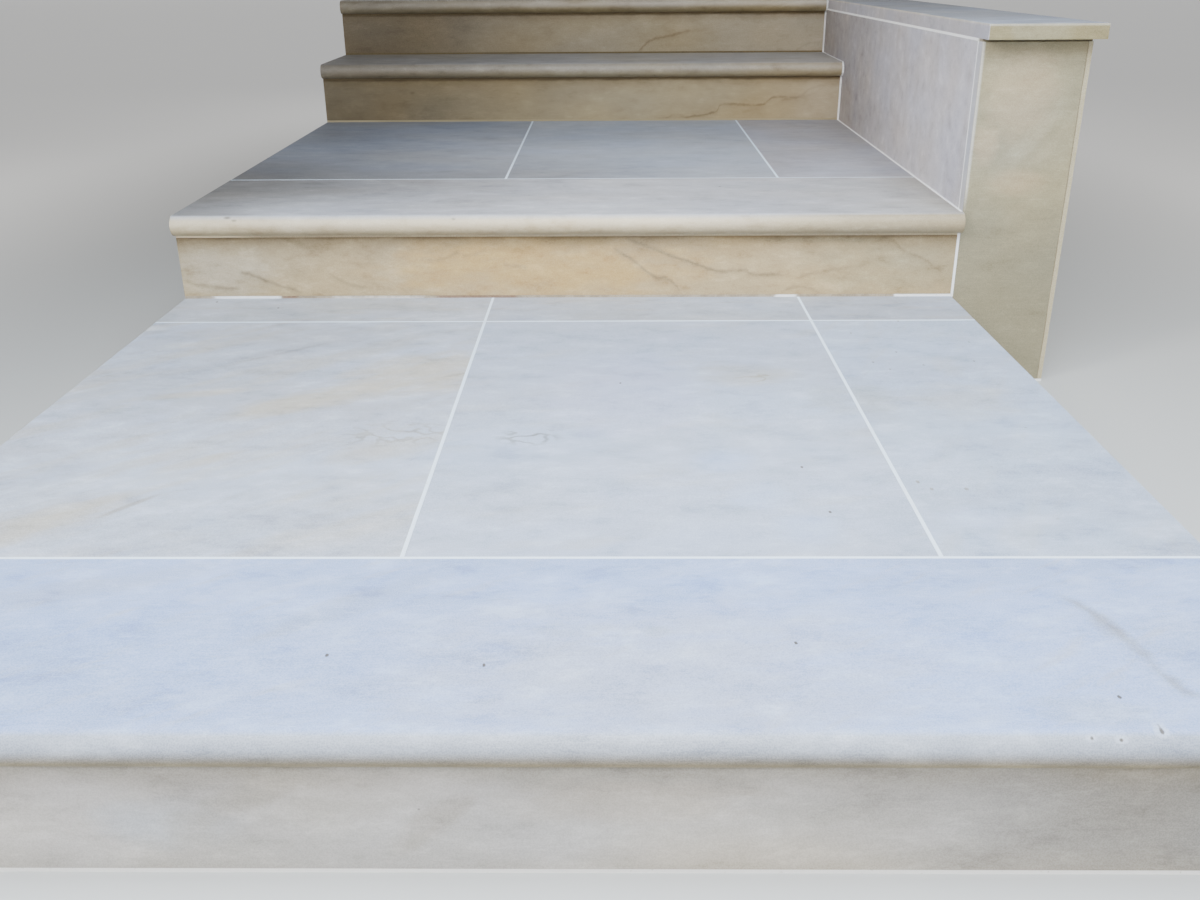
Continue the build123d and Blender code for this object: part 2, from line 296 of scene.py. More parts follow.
class Sandstone(Finish):
    """Smooth sawn sandstone with soft clouds, bedding streaks, veins and specks."""

    def __init__(self, name, seed, base, cloud, roughness=0.6):
        super().__init__(name, seed, base, roughness)
        wide = self.noise(0.30, detail=2.0, stretch=(1.5, 1, 0.6))
        small = self.noise(0.05, detail=4.0, stretch=(1.8, 1, 0.7), shift=1, roughness=0.6)
        self.lay((wide * 0.6 + small * 0.4).ease(0.40, 0.62), cloud)

    def streaks(self, colour, amount, size=0.03, length=8.0, turn=(0, 0, 0), dense=0.5, shift=2):
        """Beds cut through by the saw, as long soft streaks of another tone."""
        beds = self.noise(size, detail=3.0, stretch=(length, 1, 1), turn=turn, shift=shift, roughness=0.6)
        self.lay(beds.ease(1.02 - dense, 1.26 - dense), colour, amount)

    def vein(self, course, colour, width=0.0065, stain=0.02, amount=0.62, steps=0.012, axes="xz"):
        """Wavy soft line along a course of points, with a fading stain on one side of it."""
        run, across = (getattr(self, axis) for axis in axes)
        first = course[0][0]
        last = course[-1][0]
        margin = 0.01
        low = min(height for along, height in course) - margin
        high = max(height for along, height in course) + margin
        points = [((along - first) / (last - first), (height - low) / (high - low)) for along, height in course]
        share = (run - first) / (last - first)
        line = self.place.node("ShaderNodeFloatCurve", {"course": points}, {"Value": share})
        ragged = (self.noise(0.016, detail=4.0, shift=7, roughness=0.75) - 0.5) * steps
        away = across + ragged - (line * (high - low) + low)
        inside = share.ease(0.0, 0.08) * share.ease(1.0, 0.88)
        patchy = self.noise(0.025, detail=1.0, shift=8).ease(0.3, 0.6) * 0.6 + 0.4
        self.lay(abs(away).ease(width, 0.0) * inside * patchy, colour, amount)
        below = away.ease(-stain, 0.0) * away.ease(0.002, 0.0)
        self.lay(below * inside, colour, amount * 0.25)

    def oval(self, centre, size, flat, lean=(0, 0, 0)):
        """Squared distance from a place on a flat or an upright face: 1 on the rim of an oval."""
        far = 1000.0
        across, up = centre[0] + flight_middle, centre[1]
        sockets = {
            "Vector": self.place,
            "Location": (across, up + flight_front, 0.0) if flat else (across, 0.0, up),
            "Rotation": tuple(math.radians(angle) for angle in lean),
            "Scale": (size[0], size[1], far) if flat else (size[0], far, size[1]),
        }
        place = self.place.node("ShaderNodeMapping", {"vector_type": "TEXTURE"}, sockets)
        return place.node("ShaderNodeVectorMath", {"operation": "DOT_PRODUCT"}, {0: place, 1: place}, 1)

    def patch(self, centre, size, colour, amount, flat=True, turn=0.0, ragged=1.6, through=None):
        """Soft blotch round a place on the face, drawn out along its length."""
        lean = (0, 0, turn) if flat else (0, -turn, 0)
        edge = self.noise(0.03, detail=3.0, stretch=(3, 1, 1), turn=lean, shift=9, roughness=0.65)
        mask = (self.oval(centre, size, flat, lean) + (edge - 0.5) * ragged).ease(1.1, -0.1)
        self.lay(mask if through is None else mask * through, colour, amount)

    def scribble(self, centre, size, colour, amount):
        """Faint looping marks, where the saw cut through a rough spot."""
        loops = abs(self.noise(0.03, detail=1.5, stretch=(1.4, 1, 1), shift=11) - 0.5).ease(0.06, 0.01)
        self.patch(centre, size, colour, amount, ragged=1.0, through=loops)

    def speck(self, centre, size, colour, flat=True):
        """One iron speck, a few millimetres long."""
        ragged = (self.noise(0.004, detail=1.0, shift=3) - 0.5) * 1.5
        away = self.oval(centre, (size * 0.5, size * 0.8), flat) + ragged
        self.lay(away.ease(1.0, 0.5), colour, 0.92)

    def specks(self, spacing, radius, share, colour, amount):
        """Small specks scattered through the stone."""
        sockets = {"Vector": self.place, "Scale": 1 / spacing, "Randomness": 1.0}
        cells = self.place.node("ShaderNodeTexVoronoi", {"feature": "F1"}, sockets)
        pick = Socket(self.tree, cells.output.node.outputs["Color"])
        chosen = self.place.node("ShaderNodeSeparateColor", sockets={0: pick})
        mask = cells.ease(radius / spacing, 0.4 * radius / spacing) * chosen.ease(share, share * 0.9)
        self.lay(mask, colour, amount)

    def shade_and_dust_band(self, top, depth, colour, amount, ragged=0.03):
        """Painted shade and dust under an overhang: a darker band from top down over depth, with a ragged edge.
        With a negative depth, the face is darker towards the bottom, below top minus depth.
        """
        fall = self.z + (self.noise(0.05, detail=4.0, stretch=(1.5, 1, 1), shift=6) - 0.5) * ragged
        self.lay(fall.ease(top - depth, top), colour, amount)

    def lit_and_shaded_nose(self, lit_crown, under):
        """Painted light and shade on a round nose: a lit tone on the crown that faces forward and up, and painted
        shade underneath.
        """
        self.lay(self.facing_up.ease(0.985, 0.80), lit_crown, 1.0)
        self.lay(self.facing_up.ease(0.45, -0.55), under, 1.0)
        self.roughness = self.facing_up.ease(0.985, 0.80) * -0.14 + 0.6

    def fade(self, start, end, colour, amount):
        """Another tone across the stone, from none at start to all of it at end."""
        drift = self.x + (self.noise(0.25, detail=2.0, shift=10) - 0.5) * 0.3
        self.lay(drift.ease(start, end), colour, amount)

    def sawn(self, amount=0.16, mottle=0.38, wash=0.14):
        """Warm and cool wash, soft mottle, sand grain, and the faint long marks of the frame saw."""
        beds = self.noise(0.2, detail=1.0, stretch=(1.6, 1, 0.8), shift=16)
        self.lay(beds.ease(0.48, 0.70), (0.72, 0.54, 0.24, 1.0), wash, "SOFT_LIGHT")
        self.lay(beds.ease(0.52, 0.30), (0.32, 0.47, 0.80, 1.0), wash, "SOFT_LIGHT")
        clouds = self.noise(0.04, detail=5.0, stretch=(1.8, 1, 0.8), shift=14, roughness=0.7)
        self.lay(clouds.ease(0.5, 0.72), (1.0, 1.0, 1.0, 1.0), mottle, "SOFT_LIGHT")
        self.lay(clouds.ease(0.5, 0.28), (0.0, 0.0, 0.0, 1.0), mottle, "SOFT_LIGHT")
        marks = self.noise(0.0022, detail=1.0, stretch=(12, 1, 1), shift=4)
        self.lay(marks.ease(0.55, 0.8), (1.0, 1.0, 1.0, 1.0), amount, "SOFT_LIGHT")
        self.raise_by(marks, 0.00006)
        self.grain(0.0014, amount, 0.00015)


iron = tone(82, 71, 56)
vein_brown = tone(127, 112, 85)


def riser_stone(node, seed, base, cloud, dust, depth=0.03):
    stone = Sandstone(node + "_sandstone", seed, base, cloud)
    stone.streaks(cloud, 0.5, size=0.02, length=6.0, turn=(0, -12, 0))
    stone.dust = (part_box(node)[1].z, depth, dust)
    return stone


def finish_riser(stone, node, edge, mottle=0.38, wash=0.18):
    top, depth, dust = stone.dust
    # Under each nose the riser is darker with painted shade and dust, with a narrow darker band of painted shade
    # and dust right under the nose.
    stone.shade_and_dust_band(top, depth, dust, 0.5)
    stone.shade_and_dust_band(top + 0.001, 0.009, edge, 0.75, ragged=0.012)
    stone.specks(0.05, 0.0016, 0.12, iron, 0.5)
    stone.sawn(mottle=mottle, wash=wash)
    stone.dress(node)
    ease_arrises(node)


riser_1 = riser_stone("riser_1", 11, tone(197, 193, 190), tone(184, 180, 174), tone(136, 126, 100), 0.035)
riser_1.patch((-0.32, 0.06), (0.08, 0.035), tone(179, 186, 195), 0.6, flat=False)
riser_1.patch((-0.2465, 0.085), (0.07, 0.02), tone(152, 143, 125), 0.55, flat=False, turn=28)
riser_1.patch((-0.26, 0.08), (0.10, 0.07), tone(170, 165, 158), 0.5, flat=False)
riser_1.patch((-0.30, 0.055), (0.03, 0.03), tone(166, 157, 139), 0.35, flat=False, ragged=2.0)
riser_1.patch((-0.0765, 0.06), (0.07, 0.02), tone(156, 145, 127), 0.5, flat=False, turn=42)
riser_1.patch((0.1135, 0.085), (0.14, 0.035), tone(186, 174, 156), 0.5, flat=False)
riser_1.fade(0.16, 0.60, tone(139, 136, 131), 0.9)
# Darker towards the bottom.
riser_1.shade_and_dust_band(0.0, -0.05, tone(168, 161, 148), 0.5)
finish_riser(riser_1, "riser_1", tone(114, 103, 78))

riser_2 = riser_stone("riser_2", 12, tone(181, 161, 124), tone(172, 152, 115), tone(134, 116, 80), 0.045)
riser_2.patch((-0.0465, 0.24), (0.36, 0.09), tone(191, 157, 98), 0.85, flat=False)
riser_2.patch((0.6635, 0.24), (0.24, 0.09), tone(160, 148, 118), 0.85, flat=False)
riser_2.patch((-0.6865, 0.23), (0.14, 0.07), tone(186, 172, 145), 0.8, flat=False)
riser_2.patch((-0.53, 0.293), (0.05, 0.010), tone(125, 109, 76), 0.6, flat=False, turn=-28)
riser_2.patch((0.02, 0.292), (0.10, 0.012), tone(134, 116, 74), 0.5, flat=False)
riser_2.patch((0.50, 0.294), (0.20, 0.010), tone(132, 126, 104), 0.6, flat=False)
riser_2.patch((0.70, 0.235), (0.08, 0.05), tone(160, 150, 124), 0.4, flat=False)
riser_2.vein([(-0.758, 0.216), (-0.728, 0.207), (-0.697, 0.202), (-0.643, 0.199)], vein_brown)
riser_2.vein(
    [(-0.65, 0.234), (-0.626, 0.228), (-0.591, 0.213), (-0.566, 0.203), (-0.539, 0.196), (-0.522, 0.184)],
    vein_brown,
)
riser_2.vein([(-0.475, 0.236), (-0.451, 0.218), (-0.429, 0.207), (-0.395, 0.198)], vein_brown, amount=0.35)
riser_2.vein([(-0.29, 0.258), (-0.245, 0.256), (-0.222, 0.265), (-0.205, 0.272)], vein_brown, amount=0.35)
riser_2.vein([(-0.205, 0.264), (-0.173, 0.267), (-0.155, 0.277)], vein_brown, amount=0.35)
riser_2.vein([(-0.125, 0.247), (-0.075, 0.239)], vein_brown, amount=0.35)
riser_2.vein(
    [
        (0.09, 0.279), (0.114, 0.264), (0.133, 0.252), (0.152, 0.235), (0.176, 0.219), (0.199, 0.216),
        (0.214, 0.204), (0.23, 0.184),
    ],
    vein_brown,
)
riser_2.vein(
    [
        (0.11, 0.298), (0.142, 0.287), (0.198, 0.265), (0.250, 0.247), (0.293, 0.232), (0.312, 0.230),
        (0.349, 0.233), (0.363, 0.225), (0.396, 0.223), (0.445, 0.224),
    ],
    vein_brown,
    amount=0.7,
)
riser_2.vein([(0.452, 0.218), (0.499, 0.229), (0.541, 0.236), (0.60, 0.245)], vein_brown, amount=0.4)
riser_2.vein(
    [
        (0.59, 0.285), (0.61, 0.291), (0.635, 0.289), (0.659, 0.269), (0.697, 0.254), (0.718, 0.240),
        (0.745, 0.224),
    ],
    vein_brown,
)
riser_2.vein([(0.42, 0.184), (0.459, 0.200), (0.487, 0.193), (0.507, 0.184)], vein_brown, amount=0.35)
riser_2.fade(0.64, 0.80, tone(142, 132, 110), 0.45)
finish_riser(riser_2, "riser_2", tone(112, 94, 62), mottle=0.46)

riser_3 = riser_stone("riser_3", 13, tone(166, 150, 116), tone(155, 139, 107), tone(110, 94, 62))
riser_3.vein(
    [(0.28, 0.367), (0.399, 0.384), (0.413, 0.404), (0.534, 0.404), (0.568, 0.425), (0.642, 0.424), (0.71, 0.456)],
    tone(112, 96, 69),
    amount=0.65,
)
riser_3.vein([(-0.518, 0.370), (-0.463, 0.399), (-0.441, 0.455), (-0.387, 0.472)], vein_brown, amount=0.35)
riser_3.vein([(0.584, 0.416), (0.645, 0.427), (0.679, 0.450), (0.725, 0.456)], tone(118, 102, 74), amount=0.45)
riser_3.vein([(0.245, 0.362), (0.280, 0.375), (0.320, 0.364)], tone(118, 102, 74), amount=0.45)
riser_3.patch((0.66, 0.475), (0.10, 0.012), tone(112, 98, 68), 0.6, flat=False)
riser_3.patch((-0.5, 0.442), (0.01, 0.006), tone(98, 82, 55), 0.8, flat=False)
# Painted shade: darker towards the left end.
riser_3.fade(0.15, -0.78, tone(102, 91, 70), 0.9)
riser_3.fade(0.55, 0.82, tone(174, 163, 146), 0.7)
finish_riser(riser_3, "riser_3", tone(92, 76, 49), mottle=0.2)

riser_4 = riser_stone("riser_4", 14, tone(178, 163, 134), tone(167, 153, 124), tone(121, 105, 78))
riser_4.vein([(0.17, 0.527), (0.179, 0.537), (0.217, 0.567), (0.268, 0.578), (0.345, 0.597)], tone(125, 109, 80))
riser_4.vein([(0.67, 0.525), (0.694, 0.546), (0.756, 0.561)], tone(125, 109, 80))
# Painted shade: darker towards the left end.
riser_4.fade(0.20, -0.72, tone(104, 90, 68), 0.85)
riser_4.fade(0.25, 0.75, tone(170, 162, 146), 0.7)
finish_riser(riser_4, "riser_4", tone(92, 76, 49), mottle=0.2)


# Treads
# Each tread is one 40 mm slab of grey sandstone across the flight. Its front
# edge is turned to a full round, and its back meets the paving at a joint.
def tread_stone(node, seed, base, cloud):
    stone = Sandstone(node + "_sandstone", seed, base, cloud)
    stone.specks(0.07, 0.0018, 0.1, tone(110, 107, 101), 0.7)
    ease_arrises(node)
    return stone


tread_1 = tread_stone("tread_1", 21, tone(156, 177, 220), tone(148, 167, 206))
tread_1.streaks(tone(177, 193, 224), 0.5, size=0.03, length=4.0, turn=(0, 0, 20), dense=0.52)
tread_1.streaks(tone(170, 174, 190), 0.5, size=0.02, length=5.0, turn=(0, 0, 35), dense=0.48, shift=12)
tread_1.streaks(tone(154, 161, 175), 0.35, size=0.005, length=6.0, turn=(0, 0, 8), dense=0.46, shift=15)
tread_1.patch((0.14, 0.08), (0.30, 0.16), tone(179, 180, 190), 0.5)
tread_1.patch((-0.12, 0.12), (0.20, 0.12), tone(152, 165, 196), 0.35)
tread_1.patch((-0.19, 0.19), (0.12, 0.025), tone(148, 159, 184), 0.5, turn=38)
tread_1.patch((-0.46, 0.24), (0.14, 0.03), tone(161, 165, 179), 0.4, turn=20)
tread_1.patch((0.134, 0.145), (0.02, 0.014), tone(150, 157, 165), 0.4)
tread_1.patch((0.05, 0.15), (0.05, 0.02), tone(159, 165, 177), 0.35, ragged=2.0)
tread_1.vein(
    [(0.031, 0.618), (0.069, 0.606), (0.10, 0.602), (0.153, 0.590), (0.19, 0.578), (0.225, 0.556)],
    tone(132, 132, 136),
    width=0.012,
    stain=0.03,
    amount=0.6,
    steps=0.02,
    axes="yx",
)
tread_1.patch((0.585, 0.155), (0.018, 0.03), tone(145, 143, 145), 0.35, ragged=2.0)
tread_1.patch((0.5135, 0.0165), (0.06, 0.03), tone(150, 156, 165), 0.35, ragged=2.4)
tread_1.lit_and_shaded_nose(tone(160, 167, 180), tone(128, 116, 88))
for centre in ((-0.032, 0.088), (0.27, 0.126), (0.549, 0.038), (-0.1855, 0.1045)):
    tread_1.speck(centre, 0.004, iron)
on_nose = tread_1.y.ease(0.002, -0.004)
for centre in ((0.504, 0.168), (0.529, 0.167), (0.566, 0.171)):
    tread_1.patch(centre, (0.007, 0.003), tone(206, 214, 228), 0.5, flat=False, ragged=2.8, through=on_nose)
    tread_1.patch(centre, (0.002, 0.0014), iron, 0.9, flat=False, ragged=2.0, through=on_nose)
tread_1.sawn(0.24, mottle=0.44, wash=0.06)
tread_1.dress("tread_1")

tread_2 = tread_stone("tread_2", 22, tone(183, 183, 188), tone(168, 168, 174))
tread_2.streaks(tone(177, 172, 170), 0.5, size=0.02, length=9.0)
tread_2.streaks(tone(192, 192, 199), 0.4, size=0.006, length=14.0, dense=0.5, shift=12)
# Painted shade: the left end is darker, most of all at the back left corner.
tread_2.fade(-0.35, -0.95, tone(157, 157, 161), 0.6)
tread_2.lay(tread_2.x.ease(0.22, -0.80) * tread_2.y.ease(1.34, 1.64), tone(94, 92, 91), 0.85)
tread_2.lay(tread_2.x.ease(-0.54, -0.76), tone(100, 96, 92), 0.6)
tread_2.speck((0.321, 1.626), 0.006, tone(120, 116, 110))
tread_2.lit_and_shaded_nose(tone(212, 196, 166), tone(190, 172, 136))
# A painted highlight on the upper part of the nose, and painted shade under it.
tread_2.lay(tread_2.facing_up.ease(0.55, 0.85) * tread_2.facing_up.ease(0.995, 0.97), tone(196, 197, 202), 0.6)
tread_2.lay(tread_2.facing_up.ease(-0.35, -0.75), tone(112, 98, 70), 0.3)
tread_2.lay(tread_2.x.ease(0.66, 0.78), tone(126, 118, 103), 0.35)
tread_2.patch((-0.650, 0.342), (0.010, 0.003), iron, 0.7, flat=False, ragged=1.8)
tread_2.patch((-0.636, 0.338), (0.008, 0.003), iron, 0.7, flat=False, ragged=1.8)
tread_2.patch((-0.214, 0.339), (0.006, 0.003), iron, 0.5, flat=False, ragged=1.8)
tread_2.fade(0.38, 0.80, tone(148, 141, 130), 0.65)
tread_2.lay(tread_2.facing_up.ease(0.985, 0.8) * tread_2.x.ease(0.15, 0.70), tone(158, 142, 110), 0.85)
tread_2.sawn(wash=0.08)
tread_2.dress("tread_2")

tread_3 = tread_stone("tread_3", 23, tone(179, 176, 174), tone(168, 165, 161))
tread_3.streaks(tone(157, 150, 139), 0.5, size=0.02, length=9.0)
tread_3.lit_and_shaded_nose(tone(168, 158, 141), tone(154, 141, 112))
# Painted shade: darker towards the left end.
tread_3.fade(0.1, -0.80, tone(116, 110, 102), 0.75)
tread_3.sawn()
tread_3.dress("tread_3")

tread_4 = tread_stone("tread_4", 24, tone(175, 172, 166), tone(165, 161, 152))
tread_4.streaks(tone(154, 148, 136), 0.5, size=0.02, length=9.0)
tread_4.lit_and_shaded_nose(tone(200, 188, 168), tone(146, 132, 100))
# Painted shade: the nose is darker towards the left end.
nose_face = tread_4.facing_up.ease(0.985, 0.80)
tread_4.lay(nose_face * tread_4.x.ease(0.1, -0.80), tone(112, 104, 90), 0.4)
tread_4.lay(nose_face * tread_4.x.ease(-0.1, -0.85), tone(136, 128, 112), 0.6)
tread_4.sawn()
tread_4.dress("tread_4")


# Landing paving
# Three slabs of 22 mm sawn sandstone lie side by side on mortar, with a
# narrow row of three cut to fit between them and the second riser.
# Painted light: the warm tone of the upright paving edges.
warm_lit_side = tone(190, 177, 148)


def paving_slab(node, seed, base, cloud):
    stone = Sandstone(node + "_sandstone", seed, base, cloud)
    # Painted light by facing: the upright edges take a warm tone while the top keeps its cool one.
    stone.lay(stone.facing_up.ease(0.8, 0.2), warm_lit_side)
    ease_arrises(node)
    return stone


warm_bed = tone(184, 173, 150)
dark_bed = tone(143, 137, 127)
slab = paving_slab("landing_slab_left", 31, tone(175, 184, 202), tone(169, 174, 186))
slab.streaks(tone(184, 177, 163), 0.45, size=0.06, length=4.5, turn=(0, 0, 40), dense=0.56)
slab.streaks(tone(186, 194, 209), 0.6, size=0.035, length=6.0, turn=(0, 0, 42), dense=0.5, shift=12)
slab.streaks(tone(156, 158, 166), 0.5, size=0.016, length=8.0, turn=(0, 0, 44), dense=0.42, shift=13)
slab.streaks(tone(161, 159, 157), 0.45, size=0.005, length=9.0, turn=(0, 0, 38), dense=0.45, shift=15)
slab.patch((-0.22, 0.92), (0.15, 0.12), warm_bed, 0.7, turn=35)
slab.patch((-0.36, 0.80), (0.16, 0.05), warm_bed, 0.65, turn=30)
slab.patch((-0.60, 0.38), (0.14, 0.05), warm_bed, 0.6, turn=35)
slab.patch((-0.455, 0.57), (0.08, 0.02), warm_bed, 0.5, turn=32)
slab.patch((-0.56, 0.82), (0.12, 0.02), warm_bed, 0.5, turn=14)
slab.patch((-0.23, 0.60), (0.10, 0.04), warm_bed, 0.45, turn=30)
slab.patch((-0.50, 1.01), (0.16, 0.025), tone(150, 154, 165), 0.45, turn=37)
slab.patch((-0.42, 1.10), (0.26, 0.12), tone(158, 161, 169), 0.4)
slab.patch((-0.4695, 1.0265), (0.09, 0.008), tone(136, 137, 146), 0.5, turn=40)
slab.patch((-0.506, 0.432), (0.05, 0.006), dark_bed, 0.6, turn=53)
slab.patch((-0.165, 0.908), (0.03, 0.007), dark_bed, 0.6, turn=30)
slab.scribble((-0.215, 0.66), (0.10, 0.05), tone(138, 133, 121), 0.6)
slab.patch((-0.755, 1.165), (0.04, 0.02), tone(208, 211, 217), 0.7)
slab.sawn(0.22, mottle=0.4, wash=0.08)
slab.dress("landing_slab_left")

slab = paving_slab("landing_slab_middle", 32, tone(174, 184, 204), tone(166, 175, 193))
slab.streaks(tone(177, 179, 184), 0.5, size=0.05, length=3.0, turn=(0, 0, 15), dense=0.5)
slab.streaks(tone(157, 163, 172), 0.35, size=0.006, length=7.0, turn=(0, 0, 30), dense=0.45, shift=15)
slab.scribble((-0.025, 0.65), (0.05, 0.035), tone(122, 122, 116), 0.85)
slab.scribble((0.325, 0.89), (0.05, 0.025), tone(126, 122, 108), 0.8)
slab.patch((0.10, 0.82), (0.16, 0.22), tone(173, 175, 202), 0.45)
for centre in ((0.236, 0.567), (0.277, 0.454), (0.319, 0.365)):
    slab.patch(centre, (0.05, 0.05), tone(172, 189, 219), 0.6)
slab.patch((0.43, 0.80), (0.05, 0.09), tone(158, 163, 163), 0.45, ragged=2.0)
slab.patch((0.3035, 0.9065), (0.10, 0.06), tone(177, 170, 154), 0.4)
slab.patch((0.10, 1.10), (0.16, 0.08), tone(170, 177, 193), 0.5)
for centre in ((0.103, 0.868), (0.340, 0.544), (0.354, 0.412)):
    slab.speck(centre, 0.004, iron)
slab.sawn(0.22, mottle=0.34, wash=0.1)
slab.dress("landing_slab_middle")

slab = paving_slab("landing_slab_right", 33, tone(169, 181, 201), tone(163, 172, 190))
slab.streaks(tone(177, 178, 179), 0.4, size=0.05, length=3.0, turn=(0, 0, 60), dense=0.5)
slab.streaks(tone(154, 157, 165), 0.35, size=0.006, length=7.0, turn=(0, 0, 60), dense=0.45, shift=15)
slab.patch((0.5245, 0.3965), (0.05, 0.035), tone(179, 192, 217), 0.6)
slab.patch((0.5135, 0.5665), (0.06, 0.07), tone(177, 190, 213), 0.5)
slab.patch((0.62, 0.79), (0.10, 0.09), tone(175, 174, 170), 0.45, ragged=2.0)
slab.patch((0.48, 0.80), (0.05, 0.10), tone(156, 161, 160), 0.45, ragged=2.0)
for centre in (
    (0.517, 1.125), (0.573, 1.018), (0.523, 0.966), (0.603, 0.951),
    (0.712, 1.072), (0.691, 0.97), (0.543, 0.931), (0.618, 1.197),
):
    slab.speck(centre, 0.004, tone(118, 112, 103))
for centre in ((0.481, 0.497), (0.493, 0.476), (0.537, 0.476)):
    slab.speck(centre, 0.006, tone(139, 137, 134))
slab.specks(0.03, 0.003, 0.10, tone(130, 125, 119), 0.5)
slab.sawn(0.22, mottle=0.4, wash=0.1)
slab.dress("landing_slab_right")

strip_tones = {
    "left": (tone(174, 179, 191), tone(166, 170, 177)),
    "middle": (tone(168, 174, 186), tone(161, 165, 173)),
    "right": (tone(161, 167, 180), tone(154, 158, 166)),
}
for index, (side, tones) in enumerate(strip_tones.items()):
    strip = paving_slab("landing_strip_" + side, 34 + index, *tones)
    for centre in ((-0.690, 1.339), (-0.557, 1.296)):
        strip.speck(centre, 0.005, iron)
    strip.streaks(tone(174, 168, 159), 0.5, size=0.02, length=6.0)
    strip.sawn()
    strip.dress("landing_strip_" + side)


# Platform and top landing paving
# Both rows are laid like the landing, cut shorter on the right where they
# meet the parapet. Painted shade darkens the platform towards its left end and back.
platform_tones = {
    "left": (tone(163, 168, 181), tone(146, 152, 165)),
    "middle": (tone(166, 173, 186), tone(156, 162, 175)),
    "right": (tone(166, 165, 172), tone(154, 152, 159)),
}
for index, (side, tones) in enumerate(platform_tones.items()):
    slab = paving_slab("platform_slab_" + side, 37 + index, *tones)
    slab.streaks(tone(150, 152, 157), 0.4, size=0.03, length=4.0)
    slab.streaks(tone(175, 181, 192), 0.3, size=0.006, length=12.0, dense=0.5, shift=12)
    # Painted shade: darker towards the left end, the back and most of all the back left corner; the right end is
    # darker too.
    slab.fade(0.0, -0.78, tone(107, 109, 116), 0.75)
    slab.fade(0.50, 0.85, tone(134, 130, 130), 0.6)
    slab.lay(slab.y.ease(2.15, 1.72) * slab.x.ease(0.6, -0.3), tone(98, 98, 100), 0.66)
    slab.lay(slab.y.ease(2.10, 1.80) * slab.x.ease(-0.42, -0.76), tone(82, 79, 78), 0.6)
    slab.sawn(mottle=0.24, wash=0.14)
    slab.dress("platform_slab_" + side)
    slab = paving_slab("top_slab_" + side, 40 + index, tone(175, 181, 192), tone(165, 169, 177))
    slab.streaks(tone(168, 165, 157), 0.5, size=0.03, length=4.0)
    slab.sawn()
    slab.dress("top_slab_" + side)


# Side and back facings
# The open sides and the back are faced with 20 mm sawn slabs on edge, with
# their upright joints in line with those of the paving above.
side_facings = {
    "left_landing_facing": 51,
    "right_landing_facing": 52,
    "left_platform_facing": 53,
    "left_upper_facing": 54,
    "back_facing": 55,
}
for node, seed in side_facings.items():
    facing = Sandstone(node + "_sandstone", seed, tone(190, 179, 154), tone(179, 168, 143))
    facing.streaks(tone(165, 150, 119), 0.5, size=0.03, length=6.0, turn=(20, -15, 0))
    facing.specks(0.06, 0.0016, 0.12, iron, 0.6)
    facing.sawn(mottle=0.2)
    facing.dress(node)
    ease_arrises(node)


# Parapet wall
# The wall is faced with sawn slabs: one on its front that laps the others,
# one on its inner side, and three outside.
facing = Sandstone("wall_front_facing_sandstone", 61, tone(157, 149, 121), tone(147, 140, 114))
facing.streaks(tone(184, 170, 141), 0.4, size=0.05, length=2.0, turn=(0, -50, 0))
facing.patch((0.85, 0.56), (0.08, 0.10), tone(184, 165, 136), 0.6, flat=False)
facing.patch((0.79, 0.47), (0.03, 0.05), tone(186, 165, 134), 0.6, flat=False)
facing.patch((0.86, 0.40), (0.07, 0.03), tone(184, 163, 132), 0.5, flat=False)
facing.patch((0.87, 0.475), (0.11, 0.02), tone(176, 167, 141), 0.5, flat=False, turn=48)
facing.patch((0.79, 0.30), (0.03, 0.05), tone(146, 136, 105), 0.5, flat=False)
facing.patch((0.84, 0.28), (0.09, 0.06), tone(146, 138, 112), 0.6, flat=False)
# Darker towards the bottom, and a band of painted shade under the coping.
facing.shade_and_dust_band(0.22, -0.24, tone(134, 128, 105), 0.7)
facing.shade_and_dust_band(0.653, 0.035, tone(139, 127, 96), 0.55)
# A painted highlight along the inner arris of the upper half, and the end face towards the inner side painted in
# the cool tone of that side, as lit from it.
facing.lay(facing.x.ease(0.771, 0.766) * facing.z.ease(0.33, 0.40), tone(208, 206, 199), 0.7)
facing.lay(facing.x.ease(0.770, 0.762) * facing.y.ease(1.364, 1.367), tone(184, 184, 193), 1.0)
facing.sawn(mottle=0.2)
facing.dress("wall_front_facing")
ease_arrises("wall_front_facing")

facing = Sandstone("wall_inner_facing_sandstone", 62, tone(196, 193, 200), tone(182, 178, 183))
facing.streaks(tone(172, 165, 166), 0.5, size=0.05, length=3.0, turn=(0, 90, 0))
facing.streaks(tone(159, 154, 156), 0.4, size=0.012, length=5.0, turn=(0, 90, 0), dense=0.45, shift=12)
# Painted shade: darker towards the back.
facing.lay(facing.y.ease(1.6, 2.6), tone(140, 134, 133), 0.75)
facing.sawn(mottle=0.42, wash=0.18)
facing.dress("wall_inner_facing")
ease_arrises("wall_inner_facing")

facing = Sandstone("wall_outer_facing_sandstone", 63, tone(184, 175, 154), tone(175, 166, 145))
facing.streaks(tone(165, 150, 123), 0.5, size=0.04, length=5.0, turn=(0, 0, 90))
facing.sawn(mottle=0.2)
facing.dress("wall_outer_facing")
ease_arrises("wall_outer_facing")


